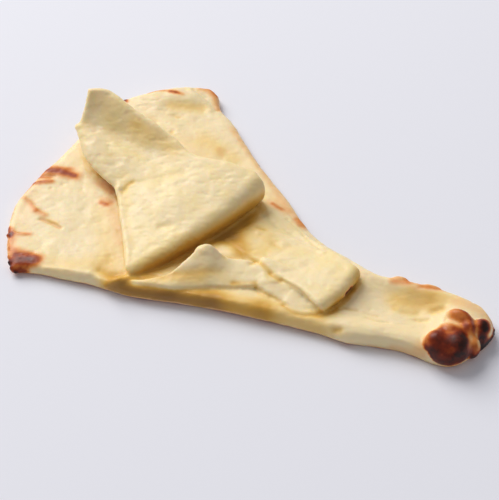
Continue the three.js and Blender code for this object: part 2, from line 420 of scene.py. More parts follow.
@dataclass(frozen=True)
class FoldedPly:
    """Ply that runs to a crest, rolls over there and goes back under itself."""

    front: Stations
    back: Stations
    crest: Stations
    swells: Sequence[Swell]
    roll_radius: tuple[float, float]
    run: tuple[float, float]
    thickness: tuple[float, float]
    roll_taper: float = 0.45
    boxiness: float = 0.8  # 1 for a round roll, less for a boxier one
    return_level: float = 4
    rows: tuple[int, int, int] = (120, 36, 30)  # over the sheet, the roll and the run
    columns: int = 110

    def build(self) -> bmesh.types.BMesh:
        """Builds the ply.

        Returns:
            The ply as a closed slab.
        """
        crowded = shares(2 * self.rows[0])[: self.rows[0] + 1] * 2
        roll = 1 + np.linspace(0, 1, self.rows[1] + 1)[1:]
        run = 2 + np.linspace(0, 1, self.rows[2] + 1)[1:]
        columns = shares(self.columns)
        along, across = np.meshgrid(np.concatenate([crowded, roll, run]), columns, indexing="ij")
        return thick_ply(self.surface(along, across), mix(*self.thickness, columns))

    def surface(self, along: np.ndarray, across: np.ndarray) -> np.ndarray:
        """Finds points of the ply's middle surface.

        Args:
            along: 0 to 1 over the sheet, to 2 round the roll and to 3 on the run below.
            across: Shares from the front edge to the back one.

        Returns:
            One point for each pair.
        """
        crest = SmoothCurve(self.crest)
        start = straight(self.front[0], self.back[0])
        edges = SmoothCurve(self.front), SmoothCurve(self.back), start, crest
        sheet_share = np.minimum(along, 1)
        sheet = spanned(*edges, sheet_share, across)
        rise = swells_at(self.swells, sheet[..., 0], sheet[..., 1]) * (1 - sheet_share**4)
        sheet[..., 2] += rise
        first, last = crest.at(np.array([0.0, 1.0]))
        heading = (last - first) * (1, 1, 0)
        outward = np.cross(heading / np.linalg.norm(heading), (0, 0, 1))
        radius = mix(*self.roll_radius, across**self.roll_taper)
        turned = np.clip(along - 1, 0, 1) * math.pi
        returned = np.clip(along - 2, 0, 1)
        bulge = np.sin(turned) ** self.boxiness
        drop = 1 - np.sign(np.cos(turned)) * np.abs(np.cos(turned)) ** self.boxiness
        reach = radius * bulge - returned * mix(*self.run, across)
        rolled = crest.at(across) + outward * reach[..., None]
        rolled[..., 2] -= radius * drop
        sunk = np.minimum(rolled[..., 2], self.return_level)
        rolled[..., 2] = mix(rolled[..., 2], sunk, returned)
        return np.where(along[..., None] <= 1, sheet, rolled)


@dataclass(frozen=True)
class Blister:
    """Bubble that the heat has raised, as a stretched ball."""

    x: float
    y: float
    z: float
    along: float
    across: float
    high: float
    turn: float

    def build(self) -> bmesh.types.BMesh:
        """Builds the blister.

        Returns:
            A closed ball, flat where it meets the ground.
        """
        ball = bmesh.new()
        meridians, rings = BALL_SEGMENTS
        bmesh.ops.create_uvsphere(ball, u_segments=meridians, v_segments=rings, radius=1)
        turn = Matrix.Rotation(math.radians(self.turn), 4, "Z")
        stretch = Matrix.Diagonal((self.along, self.across, self.high, 1))
        place = Matrix.Translation((self.x, self.y, self.z)) @ turn @ stretch
        bmesh.ops.transform(ball, matrix=place, verts=ball.verts[:])
        for vert in ball.verts:
            vert.co.z = max(vert.co.z, 0)
        return ball


# ------------------------------------------------------------------------ marks


class Effect(Enum):
    """What a mark does: its field's name, and its edge's power, 2 if soft and more if crisp."""

    RISE = ("rise", 2.0)
    DAMP = ("damp", 2.0)
    BAKE = ("bake", 2.6)


@dataclass(frozen=True)
class Mark:
    """Line or spot on the skin: raised or sunk, yellowed and darkened by painted shade and damp, or
    browned by the oven.
    """

    points: Stations
    width: float  # half width, in millimetres
    rise: float = 0.0  # millimetres outward
    damp: float = 0.0  # 0 is none and 1 is full painted shade with damp dough, golden to umber
    bake: float = 0.0  # 0 is pale dough and 1 is char
    part: Part | None = None

    def weight(
        self, places: np.ndarray, parts: np.ndarray, power: float, wander: np.ndarray | float = 0.0
    ) -> np.ndarray:
        """Weighs how much of the mark reaches each place.

        Args:
            places: Points of the skin, in millimetres.
            parts: Number of the part that each point belongs to.
            power: 2 for a soft edge, more for a crisper one.
            wander: Share of its width by which the mark's edge wanders at each point.

        Returns:
            One share from 0 to 1 for each place.
        """
        weight = np.zeros(len(places))
        line = np.array(self.points, float)
        if len(line) > 1:
            line = SmoothCurve(self.points).points[:: SmoothCurve.STEPS // 4]
        reach = MARK_WIDTHS * self.width + MARK_MARGIN_MM
        near = ((places > line.min(0) - reach) & (places < line.max(0) + reach)).all(1)
        if self.part is not None:
            near &= parts == self.part.value
        chosen = places[near]
        distance = np.full(len(chosen), np.inf)
        for start, end in zip(line, line[1:] if len(line) > 1 else line, strict=False):
            span = end - start
            share = np.clip((chosen - start) @ span / max(span @ span, CLOSE_MM), 0, 1)
            gap = np.linalg.norm(chosen - start - share[:, None] * span, axis=1)
            distance = np.minimum(distance, gap)
        frayed = min(self.width, FRAY_MM) * np.broadcast_to(wander, len(places))[near]
        distance = np.maximum(distance + frayed, 0)
        weight[near] = np.exp(-((distance / self.width) ** power))
        return weight


def risen(marks: Sequence[Mark], places: np.ndarray, parts: np.ndarray) -> np.ndarray:
    """Adds up the rise of marks at places on the skin.

    Args:
        marks: The marks.
        places: Points of the skin, in millimetres.
        parts: Number of the part that each point belongs to.

    Returns:
        One rise for each place, in millimetres.
    """
    _, power = Effect.RISE.value
    raised = (one.rise * one.weight(places, parts, power) for one in marks if one.rise)
    return sum(raised, np.zeros(len(places)))


def covered(
    marks: Sequence[Mark],
    effect: Effect,
    places: np.ndarray,
    parts: np.ndarray,
    wander: np.ndarray | float = 0.0,
) -> np.ndarray:
    """Lays marks over one another, each covering a share of what is left.

    Args:
        marks: The marks.
        effect: What the marks lay on: painted shade and damp, or browning.
        places: Points of the skin, in millimetres.
        parts: Number of the part that each point belongs to.
        wander: Share of their width by which the marks' edges wander at each point.

    Returns:
        One share from 0 to 1 for each place.
    """
    name, power = effect.value
    left = np.ones(len(places))
    for one in marks:
        amount = getattr(one, name)
        if amount:
            left *= 1 - amount * one.weight(places, parts, power, wander)
    return 1 - left


def on(part: Part, *rows: Sequence[object]) -> tuple[Mark, ...]:
    """Makes marks that lie on one part only, from rows of a mark's other values."""
    return tuple(Mark(*row, part=part) for row in rows)


WIDE_END_MARKS = (
    # dark streak at the rim, with a paler border, and the red strip next to it
    Mark(((-152, -25, 8), (-148, -23, 8.8), (-142, -20.8, 8.6), (-134, -18.6, 8.2)),
         2.8, 0, 0, 0.42),
    Mark(((-152, -25, 8), (-142, -20.8, 8.6), (-133, -18.4, 8.2)), 4.6, 1.0, 0, 0.3),
    Mark(((-153, -21, 6.9), (-145, -17.6, 8.5), (-139, -13.8, 7.9)), 1.8, 0, 0, 0.28),
    Mark(((-152, -39.3, 7.2), (-147.5, -36, 7.9), (-142.5, -31.5, 8.4)), 1.8, 0.7, 0, 0.52),
    Mark(((-153.4, -32.8, 6), (-146.6, -28.8, 7.7)), 2.2, 0, 0, 0.4),
    Mark(((-152, -31, 7), (-144, -27, 7.7)), 1.4, -0.9),
    # orange streak that runs inward, and the slit below it, darkened with painted shade
    Mark(((-148, -53.6, 7.6), (-142.4, -54.6, 7.4), (-134, -57.9, 7.5)), 2.0, 0.6, 0, 0.3),
    Mark(((-134, -57.9, 7.5), (-129.8, -58.2, 7.7), (-126, -57.9, 7.9)), 2.8, 0.7, 0, 0.32),
    Mark(((-126.3, -62.4, 7), (-118.6, -61.4, 7), (-109.8, -60.8, 7)), 1.1, -1.2, 0.95, 0.3),
    Mark(((-122, -60, 7), (-114, -59, 7)), 1.6, 0.3, 0.6),
    # orange mark at the left rim
    Mark(((-136, -79.5, 6.9), (-131.3, -81.4, 7.1), (-122.3, -76.6, 7.1)), 1.6, 0.4, 0, 0.36),
    Mark(((-139, -79.4, 5), (-132, -84.6, 6.4)), 1.8, 0.4, 0, 0.7),
    Mark(((-153, -38, 5), (-152, -58, 5), (-144, -73, 5)), 1.6, 0, 0, 0.3),
    Mark(((-132, -84.6, 5), (-124, -94, 5)), 3.5, 0, 0, 0.4),
    # browned corner, with char crumbs along the rim
    Mark(((-119, -94, 7.5), (-111, -92.5, 8.2), (-103.5, -90.5, 9)), 4.8, 0.6, 0, 0.44),
    Mark(((-116, -100, 6.5), (-110, -98, 8.4), (-105, -95, 8.6)), 4.6, 0.6, 0, 0.5),
    Mark(((-116, -103, 4), (-106, -102, 4)), 3.6, 0, 0, 0.7),
    Mark(((-112, -97, 8), (-107, -93, 8.4)), 5.5, 0, 0, 0.3),
    Mark(((-119, -97, 7), (-113, -91, 8), (-110, -88, 8)), 1.4, -0.5, 0, 0.2),
    Mark(((-150, -34, 7), (-140, -62, 7), (-127, -84, 7)), 9.0, 0, 0, 0.09),
    Mark(((-148, -20, 8), (-136, -17, 8)), 9.0, 0, 0, 0.1),
    Mark(((-157, 24, 4), (-155, -8, 4), (-154, -32, 4), (-153, -52, 4)), 2.4, 0, 0, 0.32),
    *(
        Mark((crumb,), size, 1.2, 0, 1.0)
        for crumb, size in (
            ((-135.3, -84.8, 5), 1.2), ((-126, -92.4, 6), 1.1), ((-122.8, -96.2, 6), 1.2),
            ((-121.4, -98.4, 5.6), 1.4), ((-118, -101.8, 5), 1.8), ((-114, -104.6, 5), 1.5),
            ((-110.6, -105, 3.6), 1.8),
        )
    ),
    # marks next to the flap: brown marks, browning and painted shade along its edge where its
    # shadow falls, and pores darkened with painted shade
    Mark(((-103.2, -27.9, 7.5), (-98.4, -27.1, 7.6)), 1.8, 0.3, 0, 0.42),
    Mark(((-103, -25, 7.5), (-97, -24, 7.6)), 3.5, 0, 0, 0.22),
    Mark(((-114.9, -13.6, 7.5), (-108.2, -14.4, 7.6), (-102.9, -16, 7.6)), 4.5, 0, 0, 0.3),
    Mark(((-98, -24, 7.5), (-83, -36, 7.6), (-69, -49, 7.6)), 5.0, 0, 0, 0.14),
    Mark(((-99, -31, 7.5), (-86, -44, 7.5), (-66, -62, 7.8)), 10.0, 0, 0.3),
    # painted shade along the wide end's front, towards the flap's corner
    Mark(((-98, -90, 8), (-78, -79, 8.5), (-66, -68, 7.8)), 9.0, 0, 0.32),
    *(
        Mark((pore,), 1.2, -0.5, 0.5)
        for pore in ((-135.2, -29, 7.5), (-138.8, -36.9, 7.7), (-121.4, -25.3, 7.4))
    ),
    # thin front lip, pinched where the flap's corner meets it, with painted shade in the hollow
    # beside the pinch
    Mark(((-94.5, -94, 8), (-86, -89, 9), (-76.4, -85.3, 9.4), (-67.4, -82, 9.9)), 2.0, 0.8),
    Mark(((-67.4, -82, 9.9), (-60.4, -82, 10.2), (-55, -82.8, 7)), 1.9, 0.7),
    Mark(((-54.5, -82.5, 6), (-50, -80.4, 10.2), (-47, -77.5, 12.7)), 1.5, 0.6),
    Mark(((-64, -75, 8), (-57, -74, 8.5), (-51, -70, 9.5)), 3.6, -1.2, 0.5, 0, Part.BOTTOM),
    Mark(((-48, -78.5, 10), (-45, -77, 10), (-42, -73, 11)), 3.0, 0, 0.75),
)

BACK_CORNER_MARKS = (
    Mark(((-154.6, 62.3, 6.8),), 2.2, 0.6, 0, 1.0),
    Mark(((-151.5, 61.5, 8),), 2.0, 0, 0, 0.5),
    Mark(((-143, 77.8, 9.6), (-137, 83.2, 10.5), (-127, 87, 11.5), (-121, 88.3, 11.4)),
         2.0, 0, 0, 0.36),
    Mark(((-130, 86, 11.5), (-124.5, 87.5, 11.6)), 1.9, 0, 0, 0.36),
    # the rim behind the pale line is a second, lower bulge
    Mark(((-118, 98, 9.5), (-106.3, 96.5, 8.7), (-93, 92.5, 7.4)), 1.9, -1.3),
    Mark(((-119, 95, 10), (-108, 93, 9), (-97, 89, 8)), 2.2, 0.7),
    Mark(((-116, 103, 9), (-108, 104.4, 8.8), (-99.6, 100.3, 7.8), (-93, 94, 6.5)), 3.6, 0, 0, 0.3),
    Mark(((-117, 105, 6.5), (-110, 107, 6.5), (-103, 105, 6.5)), 2.6, 0, 0, 0.36),
    # valley, wrinkle and dents darkened with painted shade, and painted shade on the lower ply
    # behind the flap's back edge
    Mark(((-121.6, 75.7, 9.9), (-109.4, 82.7, 9.2), (-102.3, 87, 8.7)), 5.5, -1.0, 0.45),
    Mark(((-115, 68.5, 7.3), (-110, 70, 7.2)), 1.4, -0.6, 0.5),
    Mark(((-127.7, 56.5, 8.1), (-122, 57, 8)), 3.0, -0.6, 0.3),
    Mark(((-105.3, 55.6, 7.7),), 2.0, -0.7, 0.5),
    Mark(((-68, 60, 7.5), (-64, 56, 7.5)), 2.4, 0, 0.3, 0.14),
    Mark(((-82, 62, 7.5), (-66, 60.6, 7.4), (-53, 58, 7)), 9.0, 0, 0.34),
    Mark(((-112, 40, 7.5), (-95, 50, 7.5), (-75, 45, 7.5)), 12.0, 0, 0.2),
    Mark(((-72, 82, 6), (-49, 70, 6), (-25, 56, 6), (1, 42, 6), (22, 33, 6)), 4.0, 0, 0, 0.2),
)

FLAP_MARKS = on(
    Part.FLAP,
    # thick rim from the left corner down, and the thin rim below it, with painted shade in the
    # groove inside it and in the tear
    (((-147, 6, 24.8), (-138, 3, 22.5), (-128, -4, 20.8), (-104, -12.5, 18.4)), 4.6, 1.0),
    (((-144, 14, 28.5), (-132, 10, 25.5), (-120, 4, 24), (-108, -2, 22.5)), 3.4, -0.9),
    (((-97, -14, 18), (-89, -23, 16.4), (-75, -38.5, 14.5), (-56, -56, 14.3), (-49, -66, 13)),
     1.8, 0.5),
    (((-93, -12, 19.5), (-86, -20, 17.5), (-72, -36, 15.8), (-53, -53.5, 16)), 1.8, -0.2, 0.3),
    (((-90.2, -19, 18.2), (-90.6, -15.2, 19), (-90.2, -11.8, 19.6), (-88.6, -9.6, 20.2)),
     1.8, -0.7, 0.95),
    (((-94, -21, 16), (-95, -17, 17.5)), 2.0, 0.7),
    # hollow along the back edge, darkened with painted shade
    (((-138, 22.8, 36), (-128, 19, 31.6), (-115, 18.5, 28.8), (-105, 17.8, 27.3)), 7.0, 0, 0.25),
    (((-143, 29, 40), (-127, 30.5, 36.5), (-113, 28, 32.5)), 5.0, 0, 0.16),
    (((-112, 27, 32), (-98, 26, 31), (-87, 25, 29.5), (-78, 23, 28)), 7.0, 0, 0.36),
    (((-122.6, 7.6, 22.8),), 0.9, -0.4, 0.9, 0),
    # dents near the crest, darkened with painted shade
    (((-49, -31, 19.6), (-44, -27, 20.6)), 2.6, -0.9, 0.3),
    (((-69, 8, 26), (-63, 12, 26.6)), 2.8, -0.7, 0.25),
    (((-70, -11, 23.5), (-65, -8, 24)), 1.8, -0.6, 0.25),
    (((-64, -2, 25.3), (-60, 1, 25.7)), 1.8, -0.6, 0.25),
    # lower side of the roll: painted shade, golden to amber, on the roll's underside and the dough
    # below it
    (((-44, -67, 7), (-33, -42, 9), (-26, -22, 11), (-19, 1, 13), (-14, 19, 14), (-11, 36, 16)),
     8.0, 0, 0.6),
    (((-41, -66, 7), (-30, -39, 6), (-22, -15, 6), (-16, 8, 6), (-12, 32, 6)), 5.0, 0, 0.6, 0.06),
    (((-38, -57, 11.8), (-32, -42, 13.5), (-22, -12, 15), (-14, 22, 16)), 6.0, 0, 0.42),
)

MIDDLE_MARKS = (
    # painted shadow in the pocket between the flap's roll and the lip
    *(
        Mark(line, width, 0, damp, 0, part)
        for part in (Part.BOTTOM, Part.MIDDLE)
        for line, width, damp in (
            (((-38, -66, 9), (-33, -44, 8.3), (-29, -33.7, 8.2), (-20, -15, 8.5), (-16, -5, 8.5)),
             8.0, 0.66),
            (((-16, -5, 8.5), (-14.6, 2.3, 8.6), (-13, 12, 8.2)), 9.0, 0.66),
            (((-13, 12, 8.2), (-12, 28, 8.2)), 7.0, 0.5),
            (((-9, -4, 9), (-3, -8, 10.5), (3, -14, 12)), 8.0, 0.72),
        )
    ),
    # painted shade in the notch beside the lip's peak, and on the fold next to the flap's roll
    Mark(((-2.6, -27, 17), (-0.4, -26.6, 16)), 1.5, -0.4, 0.5),
    Mark(((3.4, 9.4, 11.2), (11.8, 6.3, 11.5), (14, -6, 12.5)), 10.0, 0, 0.34, 0, Part.MIDDLE),
    # back edge: marks on the rim, and the seam where the fold lies on it, with painted shade in the
    # seam
    Mark(((-7.3, 37.5, 7.6), (-3.1, 36.7, 8.3), (0.6, 36.5, 8.5)), 1.7, 0.3, 0, 0.36),
    Mark(((-9, 38, 7.6), (4, 36, 8.5)), 5.0, 0, 0, 0.16),
    Mark(((15.7, 34.3, 6.9), (18.7, 34.2, 6.2)), 4.4, 0.5, 0, 0.27),
    Mark(((8.8, 30.8, 8.4), (12.9, 29.9, 9.1), (22.9, 26.7, 8.7), (26.8, 24.3, 9.7)),
         1.1, -0.8, 0.5),
    Mark(((26.8, 24.3, 9.7), (36.6, 19.4, 11.6), (43.9, 16.5, 13.6)), 1.1, -0.6, 0.35),
    # wrinkles and dents on top, with painted shade in the dents
    Mark(((15.7, 4.8, 11.8), (23.5, 3.8, 12.4), (26, 9, 12.4)), 3.0, -0.9, 0.25),
    Mark(((-1.8, 12.8, 9.9), (3.2, 12.7, 9.8)), 1.6, -0.7, 0.4),
    Mark(((0.5, 9.5, 10), (16, 14.7, 10.9), (29.4, 15.6, 11.6), (46.9, 14.9, 14.4)), 2.2, 0.7),
    Mark(((-9, 27, 8), (0, 23, 9), (9, 21, 9.6), (20, 21, 10), (30, 19, 11)), 2.2, -0.7),
    Mark(((28, -6, 13.7), (33, -2, 14), (40, -1, 15)), 3.0, 0.6),
    # torn front edge: ochre, with painted shade in its creases
    Mark(((14.5, -19.2, 14), (17.4, -15.5, 13.4), (23.7, -17, 14.3), (29.8, -19, 14.2)),
         1.5, -1.0, 0.8, 0.04),
    Mark(((29.8, -19.4, 14.2), (38.6, -20.2, 14.2)), 1.9, -0.5, 0.75, 0.05),
    Mark(((25.9, -21.6, 14.5), (31.2, -24.2, 14.6), (36.1, -22.8, 14.3)), 0.9, 0.6, 0.5),
    Mark(((38.6, -20.2, 14.2), (52, -21.4, 15.8), (62, -24.2, 14.6), (70, -28, 13)),
         1.1, -0.5, 0.55),
    # ply below, its seam, and the gap that shows under the lip, darkened with painted shade
    Mark(((27.4, -32.2, 10), (34.1, -32.7, 10.2), (42, -31.8, 10.8), (49.5, -33.3, 10.6)),
         1.4, -0.5, 0.6),
    Mark(((49.5, -33.3, 10.6), (56.7, -35, 11.4), (63.4, -34, 11.2), (72.4, -26.2, 11.6)),
         1.4, -0.7, 0.6),
    Mark(((50, -29, 11.2), (58, -30.6, 11.6), (66, -29.6, 12)), 2.6, 0.6),
    Mark(((13.5, -38, 11.5), (20, -33.4, 11), (26, -29.5, 12)), 1.5, -0.8, 0.9, 0.1),
    # hole below the end roll: a shallow pit with painted shade, and a black core painted for the
    # hole's shadow
    Mark(((75.6, -3, 9.6), (75.4, 1, 9.6), (75.4, 4.5, 9)), 2.0, -1.5, 1.0),
    Mark(((77.7, -5, 13.2), (77.8, -2, 12.9), (77.6, 1, 12.3)), 2.0, -0.3, 0, 1.0, Part.MIDDLE),
    # golden painted shade on the end roll's edge and below it
    Mark(((72, 16, 16.5), (76, 8, 15.5), (77.5, 0, 14.5), (76.5, -14, 15)),
         5.0, 0, 0.46, 0, Part.MIDDLE),
    Mark(((76, 9, 11), (75, 3.8, 8), (75.6, -11.2, 9.6), (75.7, -19, 9.2), (72, -26, 10)),
         4.6, 0, 0.75),
)

LIP_MARKS = (
    *on(
        Part.LIP,
        # groove inside the lip's front edge, and painted shade on the lip and by its peak
        (((-24, -60, 15), (-8, -46, 16), (4, -36, 16)), 3.4, -0.9, 0.3),
        (((-33, -67, 12), (-24, -61, 14), (-14, -55, 15), (-5, -49, 14)), 6.0, 0, 0.42),
        (((-4.6, -42.5, 17), (2, -40.8, 14.8), (9, -39.6, 13.4)), 7.0, 0, 0.2),
        (((-17, -40, 19), (-14, -35, 22)), 5.0, 0, 0.22),
    ),
    # painted shade in the gap under the lip's front edge
    Mark(((-42, -77, 8), (-27, -70.5, 9.5), (-14, -65, 9.5), (5, -47, 9), (20, -35, 9)),
         1.8, 0, 0.6),
    # front side below the lip: painted shade, darkest next to the pinch, lighter towards the tip
    *on(
        Part.BOTTOM,
        (((-50, -80, 6), (-26, -73, 7), (-16, -68.5, 7)), 9.5, 0, 0.95),
        (((-16, -68.5, 7), (-2, -61, 7), (10, -55.5, 7)), 9.5, 0, 0.93),
        (((10, -55.5, 7), (26, -49.5, 7), (40, -43.5, 7)), 9.5, 0, 0.7),
        (((40, -43.5, 7), (60, -37.5, 6), (78, -33, 5)), 9.5, 0, 0.5),
    ),
)

TIP_PART_MARKS = (
    # fine wrinkles and dimples with painted shade in them, and painted shade in the valley in front
    # of the back ridge
    Mark(((80.8, -11.5, 8), (84.3, -10.4, 7.7), (88.5, -8.3, 7.8)), 1.1, -0.9, 0.6),
    Mark(((96.4, -11.2, 8.8), (102.9, -10.2, 9.2), (110, -6.4, 9.4)), 1.0, -0.7, 0.4),
    Mark(((93, -8.5, 8), (98, -7, 8), (102, -5.6, 8)), 0.9, -0.6, 0.3),
    Mark(((94.5, -3.3, 7.5),), 1.2, -0.5, 0.4),
    Mark(((86.1, -30.7, 9), (88.8, -29.3, 10)), 2.4, -1.2, 0.5),
    Mark(((122, 5.5, 8), (125, 7, 8.4), (128.4, 9.4, 8.8)), 1.7, -1.2, 0.5),
    Mark(((127.5, 17, 9), (130.3, 19.2, 9.6), (132, 21, 10)), 2.2, -1.2, 0.5),
    Mark(((103.5, 13.1, 7.6), (114, 15.8, 7.6), (123, 20.5, 9)), 8.0, -0.8, 0.5),
    Mark(((108, 24, 12), (118, 27, 12.5), (128, 28.6, 12.5), (137, 30, 12.7)), 6.0, 0, 0.42),
    Mark(((106.5, 6.1, 7.5),), 3.0, -0.4, 0.35),
    Mark(((112, 6.6, 7.7), (117, 7.8, 7.6), (120, 10.7, 8)), 2.6, -0.8, 0.3),
    # browned bubbles on the back rim
    Mark(((95, 22.5, 10.5), (99.5, 24.3, 12), (103, 26.4, 11.8)), 3.2, 0, 0, 0.36),
    Mark(((96, 27, 9), (103, 30, 9)), 2.6, 0, 0, 0.35),
    Mark(((112, 28.5, 11), (118.2, 31.7, 11.4), (124, 35, 9.5)), 3.4, 0, 0, 0.42),
    Mark(((107.6, 26.5, 12),), 4.0, 0, 0, 0.15),
)

TIP_MARKS = (
    *on(
        Part.TIP,
        # main blister: dark below and to the right, redder on top
        (((143, -8, 20), (147, -11, 17), (152, -6, 20), (156, -1, 20)), 7.5, 0, 0, 0.7),
        (((146, -5, 20), (151, -4, 20.5)), 5.0, 0, 0, 0.36),
        (((142, -13, 9), (148, -14, 7), (154, -13, 8), (159, -8.6, 11), (163, -2, 8)),
         8.0, 0, 0, 0.8),
        (((155.5, 1.5, 20.4), (158.6, -3.8, 19), (160.3, -6, 15)), 4.6, 0, 0, 0.6),
        (((141.5, 0, 19), (147.3, 3.7, 20.6), (153.5, 6, 19.6)), 4.2, 0, 0, 0.5),
        # ridge that curls round it, pale at its foot
        (((142.5, 15, 21), (147, 16, 22), (152, 14, 21), (156, 12, 19.5)), 5.0, 0.4, 0, 0.5),
        (((145, 19, 20), (152, 17, 20), (157, 13.5, 18.5)), 2.2, 0, 0, 0.34),
        (((157, 12, 19), (160, 9.7, 16.4), (163.6, 4.8, 14)), 2.2, 0, 0, 0.34),
        (((141, 10.5, 18.5), (147.9, 11.6, 19.5), (153, 10, 19.5)), 2.2, 0, 0, 0.28),
        # second blister
        (((156, 23, 15.5), (160, 20, 18), (162.6, 18, 16.6)), 4.2, 0, 0, 0.6),
        (((161.6, 20, 16), (163, 16, 15), (164, 13, 10)), 4.4, 0, 0, 0.8),
    ),
    Mark(((165, 14, 9), (166, 9, 7), (165, 3, 5)), 4.0, 0, 0, 0.84),
    # outer rim: pale, then charred where it lies lowest
    Mark(((138, 30, 12.6), (148.7, 32, 12.6), (155.2, 33.4, 10.9), (160.4, 30.6, 9.5)),
         6.0, 0, 0, 0.17),
    Mark(((164, 29.5, 5), (166, 26.3, 5), (166.5, 20, 5), (166, 10, 4)), 2.8, 0, 0, 1.0),
    *(
        Mark((crumb,), 1.2, 1.1, 0, 1.0)
        for crumb in ((165.4, 28, 6), (166.6, 25.6, 5.6), (166.9, 22.8, 6), (166.4, 29.6, 3))
    ),
    # left foot of the main blister: browning with painted shade
    Mark(((136, -12, 9), (138, -6, 14), (138, 1, 16)), 5.0, 0, 0.3, 0.16),
    Mark(((120, -19, 3), (130, -16.5, 4), (138, -16, 5)), 5.0, 0, 0.2, 0.16),
)


# ------------------------------------------------------------------------ finishes


def add_node(
    tree: bpy.types.NodeTree,
    kind: str,
    settings: dict[str, object] | None = None,
    inputs: dict[str | int, object] | None = None,
    stops: Sequence[tuple[float, str]] = (),
) -> bpy.types.Node:
    """Adds a node with its settings and links.

    Args:
        tree: The node tree.
        kind: The node's type name without "ShaderNode".
        settings: Values of the node's own properties.
        inputs: A value for each named or numbered input, or the output socket to link to it.
        stops: Positions and sRGB colours of the node's colour ramp, in order.

    Returns:
        The new node.
    """
    node = tree.nodes.new("ShaderNode" + kind)
    for name, value in (settings or {}).items():
        setattr(node, name, value)
    for name, value in (inputs or {}).items():
        if isinstance(value, bpy.types.NodeSocket):
            tree.links.new(value, node.inputs[name])
        else:
            node.inputs[name].default_value = value
    if stops:
        elements = node.color_ramp.elements
        for element, (position, colour) in zip(elements, (stops[0], stops[-1]), strict=True):
            element.position, element.color = position, linear(colour)
        for position, colour in stops[1:-1]:
            elements.new(position).color = linear(colour)
    return node


def new_material(name: str) -> tuple[bpy.types.Material, bpy.types.NodeTree]:
    """Starts a material with an empty node tree.

    Args:
        name: The material's name.

    Returns:
        The material and its node tree.
    """
    material = bpy.data.materials.new(name)
    material.use_nodes = True
    material.node_tree.nodes.clear()
    return material, material.node_tree


